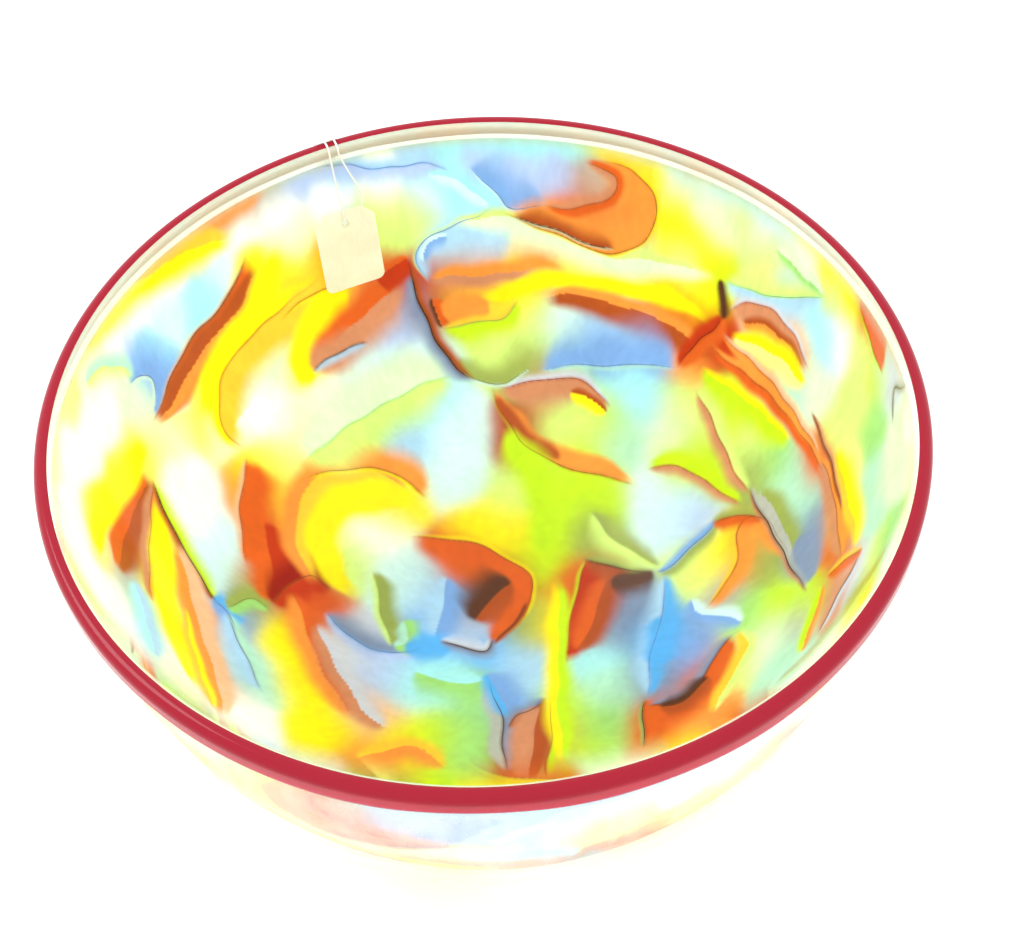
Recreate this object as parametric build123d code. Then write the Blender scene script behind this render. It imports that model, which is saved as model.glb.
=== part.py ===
from build123d import *
import os
from math import acos, cos, hypot, pi, radians, sin, sqrt

# Hand-blown art glass bowl with a paper tag tied over its lip, in millimetres.
# Origin: centre of the ground base, on the table. +Z is up and -Y is the near side.
# From the outside in, the wall is a milky casing, one layer of colour shards picked up
# side by side, and a clear lining. A ruby thread of glass is wrapped round the lip.

# Driving dimensions
RIM_DIAMETER = 300.0
HEIGHT = 165.0
BASE_RADIUS = 50.0
SHOULDER = (120.0, 54.4)  # radius and height where the two outer arcs of the wall meet
CASING = 3.0  # thickness of each layer of the wall
COLOUR = 1.5
LINING = 2.0
FLOOR_CASING = 5.0  # height of the top of each layer over the base
FLOOR_COLOUR = 6.5
FLOOR_LINING = 9.0
HAIR_GAP = 0.02  # each side of the colour layer, so that no shard shares a face with its neighbours in or out
WRAP_HEIGHT = 8.5  # ruby wrap, down the outside from the crest of the lip
WRAP_THICKNESS = 2.5
WRAP_CREST_RADIUS = 145.0  # circle where the ruby ends on top of the lip

# Worked out
WALL = CASING + COLOUR + LINING
RIM_RADIUS = RIM_DIAMETER / 2
LIP_RADIUS = WALL / 2
LIP_Z = HEIGHT - LIP_RADIUS
WRAP_Z = HEIGHT - WRAP_HEIGHT
FLARE = (RIM_RADIUS - SHOULDER[0], LIP_Z - SHOULDER[1])  # from the shoulder out and up to the rim
BULGE = (FLARE[0] ** 2 + FLARE[1] ** 2) / (2 * FLARE[0])
BULGE_CENTRE = (RIM_RADIUS - BULGE, LIP_Z)
NORMAL = ((SHOULDER[0] - BULGE_CENTRE[0]) / BULGE, (SHOULDER[1] - BULGE_CENTRE[1]) / BULGE)
FOCUS = Vector(0, 0, HEIGHT)  # the shards' side faces all point at this point

# Shards: a colour name and the places of its one to four lobes. A place is a direction
# from the focus, flattened: degrees away from straight down, towards +X and towards +Y.
SHARDS = [
    ("white", [(-76, 8), (-73, 23)]),
    ("orange", [(-70, 52), (-58, 65)]),
    ("sky", [(-61, 42), (-54, 55)]),
    ("orange", [(-48, 52), (-54, 39)]),
    ("amber", [(-41, 58), (-43, 46)]),
    ("white", [(-37, 38), (-49, 31)]),
    ("orange", [(-20, 58), (-27, 51)]),
    ("sky", [(-19, 46), (-9, 43), (-22, 36)]),
    ("white", [(-49, 17)]),
    ("orange", [(-35, 20), (-29, 10)]),
    ("amber", [(-23, 25), (-13, 25)]),
    ("blue", [(-13, 12), (-9, 3)]),
    ("rust", [(-1, 14)]),
    ("lime", [(4, 27), (9, 14)]),
    ("orange", [(8, 38), (17, 32)]),
    ("lime", [(3, 50), (-4, 54)]),
    ("blue", [(20, 51), (28, 45)]),
    ("orange", [(-3, 61), (12, 60), (27, 56), (40, 49)]),
    ("lavender", [(-5, 68), (9, 67), (22, 64), (35, 60)]),
    ("lime", [(-15, 72), (-29, 67)]),
    ("sky", [(-36, 77), (-15, 84)]),
    ("lavender", [(8, 80), (19, 79)]),
    ("orange", [(26, 72), (34, 67)]),
    ("amber", [(38, 78), (46, 66)]),
    ("sky", [(59, 66), (67, 55)]),
    ("green", [(58, 51), (68, 40)]),
    ("amber", [(78, 41), (83, 24)]),
    ("orange", [(54, 41), (60, 31)]),
    ("orange", [(47, 35), (54, 22)]),
    ("sky", [(69, 25), (71, 9)]),
    ("green", [(26, 37), (36, 33)]),
    ("lime", [(40, 20), (34, 9)]),
    ("white", [(26, 21)]),
    ("rust", [(14, 10)]),
    ("blue", [(22, 3)]),
    ("green", [(48, 10), (43, -2)]),
    ("amber", [(58, 4), (60, -9)]),
    ("orange", [(29, -12)]),
    ("lime", [(14, -11), (21, -26), (31, -42)]),
    ("rust", [(4, -12)]),
    ("green", [(-7, -12), (-11, -28), (-15, -44)]),
    ("amber", [(-22, -2), (-31, -6)]),
    ("orange", [(-46, 0), (-42, -10)]),
    ("orange", [(-61, 6), (-66, -3)]),
    ("white", [(-72, -20), (-60, -16)]),
    ("sky", [(-50, -36), (-38, -24)]),
    ("orange", [(-62, -50), (-44, -66)]),
    ("amber", [(-26, -30), (-32, -48)]),
    ("orange", [(4, -32), (9, -50)]),
    ("sky", [(-14, -76), (8, -74)]),
    ("rust", [(32, -62), (42, -72)]),
    ("blue", [(46, -28), (52, -46)]),
    ("white", [(76, -12), (70, -34)]),
]

# Paper tag on a thin doubled string over the lip, held outside by a bit of clear tape
TAG_AZIMUTH = 111.2
TAG_SIZE = (25.0, 36.0, 0.8)
TAG_CLIP = 5.0  # clipped top corners
TAG_ROUND = 3.0  # rounded bottom corners
TAG_HOLE = 3.6
TAG_HOLE_DROP = 6.0  # from the card's top edge down to the hole's centre
TAG_LEAN = 9.9  # degrees off vertical, so that it lies along the wall
STRING = 0.8
STRAND_ALONG = (-1.2, 2.4)  # the two strands where they cross the lip, along it from the tag's middle
STRING_LIFT = 0.9  # from the card's face to the middle of the string
BACK_CORNER = 8.5  # where the strand behind the card passes its top edge, from its middle
HOLE_BEND = 0.8  # bends of the string in the card's hole and behind its corner
CORNER_BEND = 3.0
STRING_CLEARANCE = 0.5  # from the glass to the middle of the string
PIVOT = (RIM_RADIUS - WALL - STRING_CLEARANCE, LIP_Z - 1.5)  # radius and height of the swing
DROP = 30.0  # from the pivot down to the tag's hole
JOIN_GAP = 0.6
TAIL_Z = HEIGHT - 13.0  # lower end of the string outside, under the tape
TAPE = 0.3
TAPE_LIFT = 1.0  # inner face of the tape over the glass, clear of the string
TAPE_WIDTH = 9.5
TAPE_END_Z = HEIGHT - 16.0


def arc_point(centre, radius, angle):
    return (centre[0] + radius * cos(angle), centre[1] + radius * sin(angle))


def slope_angle(normal):
    return -acos(normal[0])


def outer_foot():
    """Radius and centre of the arc from the ground base up to the shoulder."""
    dx = SHOULDER[0] - BASE_RADIUS
    dz = SHOULDER[1]
    radius = (dx**2 + dz**2) / (2 * (dx * NORMAL[0] + dz * NORMAL[1]))
    return radius, (SHOULDER[0] - radius * NORMAL[0], SHOULDER[1] - radius * NORMAL[1])


def inner_foot(offset, floor):
    """Radius and centre of the arc from a flat floor, tangent to it, up to the shoulder."""
    knee = (SHOULDER[0] - offset * NORMAL[0], SHOULDER[1] - offset * NORMAL[1])
    radius = (knee[1] - floor) / (1 + NORMAL[1])
    return radius, (knee[0] - radius * NORMAL[0], knee[1] - radius * NORMAL[1])


def filled(offset, floor):
    """Half section of everything inside a layer's outer face, open past the lip."""
    if floor == 0:
        radius, centre = outer_foot()
        start = (BASE_RADIUS, 0)
        first = -acos((BASE_RADIUS - centre[0]) / radius)
    else:
        radius, centre = inner_foot(offset, floor)
        start = (centre[0], floor)
        first = -pi / 2
    last = slope_angle(NORMAL)
    knee = arc_point(centre, radius, last)
    bulge = BULGE - offset
    top = arc_point(BULGE_CENTRE, bulge, 0)
    rise = HEIGHT + 10
    with BuildSketch(Plane.XZ) as section:
        with BuildLine():
            Line((0, floor), start)
            ThreePointArc(start, arc_point(centre, radius, (first + last) / 2), knee)
            ThreePointArc(knee, arc_point(BULGE_CENTRE, bulge, last / 2), top)
            Polyline(top, (top[0], rise), (0, rise), (0, floor))
        make_face()
    return section.sketch


def wall_section():
    """Half section of the whole wall with its rounded lip."""
    with BuildSketch(Plane.XZ) as section:
        add(filled(0, 0))
        add(filled(WALL, FLOOR_LINING), mode=Mode.SUBTRACT)
        with Locations((RIM_RADIUS, LIP_Z + HEIGHT / 2)):
            Rectangle(4 * WALL, HEIGHT, mode=Mode.SUBTRACT)
        with Locations((RIM_RADIUS - LIP_RADIUS, LIP_Z)):
            Circle(LIP_RADIUS)
    return section.sketch


def below(height):
    """Everything in the half section under a height."""
    with BuildSketch(Plane.XZ) as area:
        with Locations((RIM_DIAMETER / 2, height / 2 - HEIGHT / 2)):
            Rectangle(RIM_DIAMETER, height + HEIGHT)
    return area.sketch


def wrap_area():
    """Outer part of the lip's section, which the ruby wrap takes."""
    crest = (WRAP_CREST_RADIUS, HEIGHT)
    with BuildSketch(Plane.XZ) as area:
        with BuildLine():
            Polyline(
                (RIM_RADIUS - WRAP_THICKNESS, WRAP_Z),
                (RIM_RADIUS + WALL, WRAP_Z),
                (RIM_RADIUS + WALL, HEIGHT + WALL),
                (WRAP_CREST_RADIUS, HEIGHT + WALL),
                crest,
                close=True,
            )
        make_face()
    return area.sketch


def turned(section):
    return revolve(section, Axis.Z, 360)


def direction(place):
    """Unit vector of a flattened direction: degrees from straight down, to +X and +Y."""
    away = hypot(*place)
    across = sin(radians(away)) / away
    return Vector(place[0] * across, place[1] * across, -cos(radians(away)))


def clipped(outline, normal):
    """The part of a flat outline on the side of a plane through the focus that normal points to."""
    kept = []
    for here, after in zip(outline, outline[1:] + outline[:1]):
        a = here.dot(normal)
        b = after.dot(normal)
        if a >= 0:
            kept.append(here)
        if a * b < 0:
            kept.append(here + (after - here) * (a / (a - b)))
    return kept


def lobe_pyramid(lobe, others):
    """Pyramid from the focus round all that is nearer to this lobe's direction than to another's."""
    reach = 2 * RIM_DIAMETER
    side = Plane(origin=(0, 0, 0), z_dir=lobe)
    middle = lobe * reach
    corners = [(-1, -1), (1, -1), (1, 1), (-1, 1)]
    outline = [middle + side.x_dir * (i * reach) + side.y_dir * (j * reach) for i, j in corners]
    for other in others:
        outline = clipped(outline, lobe - other)
    outline = [FOCUS + corner for corner in outline]
    faces = [Face(Wire.make_polygon(outline, close=True))]
    for here, after in zip(outline, outline[1:] + outline[:1]):
        faces.append(Face(Wire.make_polygon([FOCUS, here, after], close=True)))
    return Solid(Shell(faces))


def make_shards(layer):
    """Cuts the colour layer into its shards, each one the union of its lobes' cells."""
    directions = [[direction(place) for place in places] for _, places in SHARDS]
    every = [lobe for lobes in directions for lobe in lobes]
    counts = {}
    shards = {}
    for (colour, _), lobes in zip(SHARDS, directions):
        cells = []
        for lobe in lobes:
            cells.append(layer & lobe_pyramid(lobe, [other for other in every if other is not lobe]))
        shard = cells[0]
        for cell in cells[1:]:
            shard = shard + cell
        counts[colour] = counts.get(colour, 0) + 1
        shards[f"shard_{colour}_{counts[colour]:02d}"] = shard
    return shards


def lip_frame():
    """Plane across the lip at the tag: x out from the bowl's axis, y up, z along the lip."""
    out = Vector(cos(radians(TAG_AZIMUTH)), sin(radians(TAG_AZIMUTH)), 0)
    return Plane(origin=(0, 0, 0), x_dir=out, z_dir=out.cross(Vector(0, 0, 1)))


def at_lip(radius, height, along=0.0):
    return lip_frame().from_local_coords(Vector(radius, height, along))


def tag_plane():
    """Plane of the card's back: origin at its hole, x along the lip, y up the card, z into the bowl."""
    lean = radians(TAG_LEAN)
    hole = at_lip(PIVOT[0] - DROP * sin(lean), PIVOT[1] - DROP * cos(lean))
    up = at_lip(PIVOT[0], PIVOT[1]) - hole
    along = lip_frame().z_dir
    inward = along.cross(up).normalized()
    return Plane(origin=hole - inward * (TAG_SIZE[2] / 2), x_dir=along, z_dir=inward)


def tube(path):
    """Round string along a path, with its length and volume printed."""
    with BuildPart() as string:
        with BuildSketch(Plane(origin=path @ 0, z_dir=path % 0)):
            Circle(STRING / 2)
        sweep(path=path)
    expected = pi * STRING**2 / 4 * path.length
    share = string.part.volume / expected
    print(f"string: {path.length:.1f} mm long, volume {share:.3f} of section x length")
    return string.part


def make_tag_card():
    width, height, thick = TAG_SIZE
    top = TAG_HOLE_DROP
    with BuildPart() as card:
        with BuildSketch(tag_plane()):
            with Locations((0, top - height / 2)):
                Rectangle(width, height)
            with Locations(*[(side * width / 2, top) for side in (-1, 1)]):
                Rectangle(TAG_CLIP * sqrt(2), TAG_CLIP * sqrt(2), rotation=45, mode=Mode.SUBTRACT)
            Circle(TAG_HOLE / 2, mode=Mode.SUBTRACT)
        extrude(amount=thick)
        low = card.edges().filter_by(Axis(tag_plane().origin, tag_plane().z_dir))
        fillet(low.sort_by(Axis.Z)[:2], TAG_ROUND)
    return card.part


def make_string_hanging():
    """One loop in the tag's body: down the card's front, through its hole and up behind its corner."""
    first, second = [at_lip(PIVOT[0], PIVOT[1] - JOIN_GAP, along) for along in STRAND_ALONG]
    at_card = [
        Vector(0, 0, TAG_SIZE[2] + STRING_LIFT),
        Vector(0, 0, -STRING_LIFT),
        Vector(BACK_CORNER, TAG_HOLE_DROP + STRING, -STRING_LIFT),
    ]
    route = [first, *[tag_plane().from_local_coords(point) for point in at_card], second]
    return tube(FilletPolyline(*route, radius=[HOLE_BEND, HOLE_BEND, CORNER_BEND]))


def make_string_over_lip():
    """Two strands from the pivot up, over the lip and down the outside, in the bowl's body."""
    turn = LIP_RADIUS + STRING_CLEARANCE
    middle = RIM_RADIUS - LIP_RADIUS
    strands = []
    for along in STRAND_ALONG:
        route = [
            at_lip(PIVOT[0], PIVOT[1], along),
            at_lip(middle - turn, LIP_Z + turn, along),
            at_lip(middle + turn, LIP_Z + turn, along),
            at_lip(middle + turn, TAIL_Z, along),
        ]
        print(f"string radius over the lip: {turn:.2f} mm")
        strands.append(tube(FilletPolyline(*route, radius=[turn - 0.01] * 2)))
    return Compound(children=strands)


def make_tape():
    """Thin strip over the strings: up the outside of the lip and over its crest."""
    middle = RIM_RADIUS - LIP_RADIUS
    inner = LIP_RADIUS + TAPE_LIFT
    outer = inner + TAPE
    with BuildPart() as tape:
        with BuildSketch(lip_frame()):
            with Locations((middle, LIP_Z)):
                Circle(outer)
                Circle(inner, mode=Mode.SUBTRACT)
            with Locations((middle - outer / 2, LIP_Z - outer / 2)):
                Rectangle(outer, 3 * outer, mode=Mode.SUBTRACT)
            with Locations((middle, LIP_Z - outer / 2)):
                Rectangle(2 * outer, outer, mode=Mode.SUBTRACT)
            with Locations((middle + inner + TAPE / 2, (LIP_Z + TAPE_END_Z) / 2)):
                Rectangle(TAPE, LIP_Z - TAPE_END_Z)
        extrude(amount=TAPE_WIDTH / 2, both=True)
    return tape.part


def build_nodes():
    wall = wall_section()
    casing = (filled(0, 0) - filled(CASING, FLOOR_CASING)) & wall & below(WRAP_Z)
    colour_outside = filled(CASING + HAIR_GAP, FLOOR_CASING + HAIR_GAP)
    colour_inside = filled(CASING + COLOUR - HAIR_GAP, FLOOR_COLOUR - HAIR_GAP)
    colour = (colour_outside - colour_inside) & below(WRAP_Z - HAIR_GAP)
    lining = (filled(CASING + COLOUR, FLOOR_COLOUR) & wall) + (wall - below(WRAP_Z)) - wrap_area()
    nodes = {
        "opal_casing": turned(casing),
        "clear_lining": turned(lining),
        "ruby_lip_wrap": turned(wall & wrap_area()),
    }
    nodes.update(make_shards(turned(colour)))
    nodes["tag_card"] = make_tag_card()
    nodes["tag_string_hanging"] = make_string_hanging()
    nodes["tag_string_over_lip"] = make_string_over_lip()
    nodes["tag_tape"] = make_tape()
    return nodes


os.makedirs("parts", exist_ok=True)
for name, shape in build_nodes().items():
    export_step(shape, f"parts/{name}.step")
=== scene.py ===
"""Looks of the art glass bowl: layered glass wall with streaky colour shards, ruby lip and a paper tag."""
from math import acos, cos, pi, radians, sin, sqrt

import bpy
import numpy as np
from mathutils import Matrix, Vector
from mathutils.bvhtree import BVHTree


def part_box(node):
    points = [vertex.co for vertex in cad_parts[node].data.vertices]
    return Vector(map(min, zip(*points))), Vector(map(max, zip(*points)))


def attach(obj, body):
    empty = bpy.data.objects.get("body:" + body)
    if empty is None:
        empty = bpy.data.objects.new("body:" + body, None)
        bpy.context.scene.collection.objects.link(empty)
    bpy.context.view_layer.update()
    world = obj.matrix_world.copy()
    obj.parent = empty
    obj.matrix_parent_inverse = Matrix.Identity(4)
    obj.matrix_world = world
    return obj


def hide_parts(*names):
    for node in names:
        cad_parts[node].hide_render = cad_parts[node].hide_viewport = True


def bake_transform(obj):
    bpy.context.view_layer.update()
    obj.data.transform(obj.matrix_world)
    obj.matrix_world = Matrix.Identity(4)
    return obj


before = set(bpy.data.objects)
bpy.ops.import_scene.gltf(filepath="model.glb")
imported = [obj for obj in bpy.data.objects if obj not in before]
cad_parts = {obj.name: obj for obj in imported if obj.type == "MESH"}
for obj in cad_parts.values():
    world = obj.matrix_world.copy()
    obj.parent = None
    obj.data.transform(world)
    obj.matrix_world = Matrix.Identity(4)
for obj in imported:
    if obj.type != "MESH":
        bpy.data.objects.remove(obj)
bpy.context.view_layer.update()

MM = 0.001

# The wall, as the CAD has it
RIM_RADIUS = 150 * MM
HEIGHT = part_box("ruby_lip_wrap")[1].z
BASE_RADIUS = 50 * MM
SHOULDER = (120 * MM, 54.4 * MM)
CASING, COLOUR, LINING = 3.0 * MM, 1.5 * MM, 2.0 * MM
FLOOR_CASING, FLOOR_COLOUR, FLOOR_LINING = 5.0 * MM, 6.5 * MM, 9.0 * MM
WALL = CASING + COLOUR + LINING
LIP_RADIUS = WALL / 2
LIP_Z = HEIGHT - LIP_RADIUS
WRAP_Z = HEIGHT - 8.5 * MM
WRAP_THICKNESS = 2.5 * MM
WRAP_CREST_RADIUS = 145.0 * MM
BULGE = ((RIM_RADIUS - SHOULDER[0]) ** 2 + (LIP_Z - SHOULDER[1]) ** 2) / (2 * (RIM_RADIUS - SHOULDER[0]))
BULGE_CENTRE = (RIM_RADIUS - BULGE, LIP_Z)
NORMAL = ((SHOULDER[0] - BULGE_CENTRE[0]) / BULGE, (SHOULDER[1] - BULGE_CENTRE[1]) / BULGE)
FOCUS = Vector((0, 0, HEIGHT))
SKIN = 0.05 * MM  # hair gap between the layers
CASING_EASE = 0.3 * MM  # the casing's top edge, under the wrap's lower one
WRAP_WANDER, WANDER_SEED = 0.9 * MM, 5

# Camera, in the row frame
EYE = Vector((0.0, -0.3997, 0.6198))
TARGET = Vector((0.0086, -0.0305, HEIGHT))
ROLL = radians(2.18)
LENS = 63.3

# Studio: a light is (place, side, power)
WORLD_LIGHT = 1.5
KEY_LIGHT = ((-0.9, 0.3, 1.3), 0.7, 8.0)
FILL_LIGHT = ((0.9, -0.8, 1.0), 1.2, 3.0)
FLOOR_HALF = 6
SEE_THROUGH_BOUNCES = 48  # each ray crosses many layers of glass
DIFFUSE_BOUNCES = 6

# Glass colours, as sRGB
PAINTS = {
    "white": (252, 255, 252), "cream": (255, 254, 215), "yellow": (255, 240, 15), "straw": (255, 251, 150),
    "gold": (255, 208, 60), "orange": (250, 158, 68), "flame": (228, 102, 36), "scarlet": (200, 58, 22),
    "ruby": (160, 30, 18), "rust": (184, 84, 36), "umber": (96, 56, 36), "peach": (246, 196, 156),
    "lime": (206, 242, 30), "leaf": (222, 250, 140), "mist": (230, 252, 214), "green": (168, 224, 130),
    "olive": (164, 178, 92), "mint": (188, 236, 212), "cyan": (178, 243, 252), "ice": (220, 252, 255),
    "azure": (96, 184, 250), "blue": (132, 176, 238), "sky": (180, 220, 252), "lavender": (190, 210, 252),
    "slate": (136, 154, 190), "pearl": (214, 220, 238), "grey": (190, 192, 186), "clay": (216, 146, 108),
}

# Colour of the wall, point by point. A place is a direction from the middle of the rim, flattened:
# degrees away from straight down, towards +X and towards +Y.
PATCHES = {
    "white": [(-82, 5), (-76, 10), (-76, -8), (-72, 20), (-80, -16), (-68, -14), (-75, 35), (-66, 50),
        (-72, 42), (-51, 66), (-42, 70), (-42, 38), (-36, 36), (-18, 22), (-47, 18), (-52, 19),
        (-63, -12), (-48, -12), (-38, -14), (-20, 78), (72, 28), (86, -5), (71, 45), (-26, 41), (-30, 74),
        (-58, -17)],
    "cream": [(-78, 25), (-38, 66), (-46, 33), (-57, 25), (52, 60), (-87, 0), (-50, -16), (-30, 36)],
    "yellow": [(-80, 39), (-38, 60), (-44, 58), (-43, 50), (-48, 40), (-49, 33), (-33, 52), (-30, 45),
        (-36, 27), (-26, 22), (-15, 27), (-20, 27), (0, 22), (5, 22), (9, 6), (-14, -13), (-30, 1),
        (-28, -5), (-24, -12), (-60, 20), (-64, 12), (-67, 5), (-53, 5), (-54, -1), (-46, -6), (61, 1),
        (78, 30), (82, 34), (76, 40), (80, 36), (74, 48), (78, 45), (42, 50), (36, 54), (28, 58),
        (20, 60), (40, 72), (44, 66), (36, 79), (33, 82), (46, 60), (42, 61), (48, 56), (39, 76),
        (-27, 56), (8, 58), (34, 10), (-27, -1)],
    "straw": [(-84, 28), (-85, 12), (-68, -3), (-55, 30), (-33, 30), (-50, -5), (42, 57), (-58, 23),
        (63, 7)],
    "gold": [(-36, 57), (-29, 62), (-30, 24), (-22, 33), (3, 57), (-25, 28)],
    "orange": [(-57, 66), (-24, 59), (-37, 23), (0, 62), (14, 62), (33, 76), (36, 70), (30, 70), (-45, 0),
        (-42, -10), (51, 33), (59, 3), (38, 8), (-66, 57), (-18, -16), (28, -14), (-3, 58), (37, 41)],
    "flame": [(-62, 62), (-17, 61), (-33, 16), (-60, 12), (-62, 5), (-27, 8), (33, 65), (25, 68),
        (20, 71), (57, 14), (57, -3), (-4, 17), (84, 20), (82, 25), (38, 48), (33, 52), (30, -8),
        (22, -13), (13, 12)],
    "scarlet": [(-11, 62), (-29, 12), (42, 43)],
    "rust": [(2, 15), (6, 36), (12, 6), (4, -13), (-7, 57), (-59, 2)],
    "umber": [(-1, 11)],
    "peach": [(-65, 0), (-42, 0), (57, 44), (-18, -8), (59, 33), (-57, 9), (60, 36)],
    "lime": [(10, 28), (12, 24), (18, 25), (8, 18), (14, 31), (36, 24), (31, 27), (42, 30), (49, -7),
        (-10, -12), (8, -8), (10, -15), (48, 54), (30, 85), (-2, 55), (79, 14), (43, -3), (20, 37)],
    "leaf": [(-22, 18), (-26, 35), (5, 28), (3, 50), (10, 53), (33, 35), (38, 31), (-15, 70), (-12, 72),
        (-20, 73), (64, 15), (70, 15), (76, 22), (58, 58), (60, 50), (66, 48), (33, 61), (30, 10),
        (65, -15), (12, 35), (17, 36), (45, 25), (74, 35), (35, -8), (-63, 17)],
    "mist": [(-66, 28), (-62, 27), (22, 63), (30, 61), (15, 67), (62, 54), (56, 60), (69, 42), (46, 70),
        (51, 66), (73, -3), (30, 32), (61, 24), (78, -8), (-37, 45), (40, -8), (80, 0)],
    "green": [(-20, 40), (-15, 43), (-3, -6), (-5, -12), (14, -12), (48, 20), (72, 8), (70, -17),
        (38, -2)],
    "olive": [(8, 47), (16, 20), (44, 20), (-37, 7), (62, -19), (5, 6), (42, 5)],
    "mint": [(50, 15), (52, 10), (-57, -7), (66, -6), (69, 0), (43, -14), (-35, -6), (56, 26), (54, 31),
        (22, 33), (16, -6), (15, 46)],
    "cyan": [(-56, 50), (-64, 36), (-8, 42), (-8, -3), (-5, 78), (5, 87), (68, 30), (66, 36), (24, 40),
        (28, 38), (-12, -3), (60, 65), (-55, -14), (15, 86), (25, 84), (14, 0), (0, 76), (-5, 86)],
    "ice": [(-63, 45), (-55, 57), (-20, 47), (-8, 48), (-4, 38), (-5, 32), (-13, 14), (-42, 14), (-44, 8),
        (28, 20), (26, 24), (15, 52), (-10, 76), (66, 56), (68, 50)],
    "azure": [(24, 2), (-9, 4), (-1, 3)],
    "blue": [(-62, 33), (23, 46), (31, 44), (-39, 3), (28, -3), (2, -7), (68, 57), (-8, 8)],
    "sky": [(-30, 80), (-24, 50), (-12, 36), (-10, 12), (0, 67), (-6, 67), (22, 52), (27, 50), (64, 42),
        (64, 61), (55, 70), (49, 74), (60, 66), (-38, -5), (6, -3), (-10, 82), (4, 0)],
    "lavender": [(-40, 77), (-15, 53), (12, 78), (20, 77), (3, 82), (31, 19), (-16, -1)],
    "slate": [(-5, 10), (50, 3), (53, 5), (21, 6), (22, -6), (-12, 56), (17, 4)],
    "pearl": [(-20, 3), (61, -12), (83, 8), (81, 13), (-3, 6)],
    "grey": [(-46, 74), (-61, -3), (28, 76), (46, -9), (34, 4), (40, 79)],
    "clay": [(-52, 70), (-17, 57), (-4, 62), (25, 75), (-35, 10), (58, -8), (54, -10), (12, 43),
        (7, -14)],
}

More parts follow.
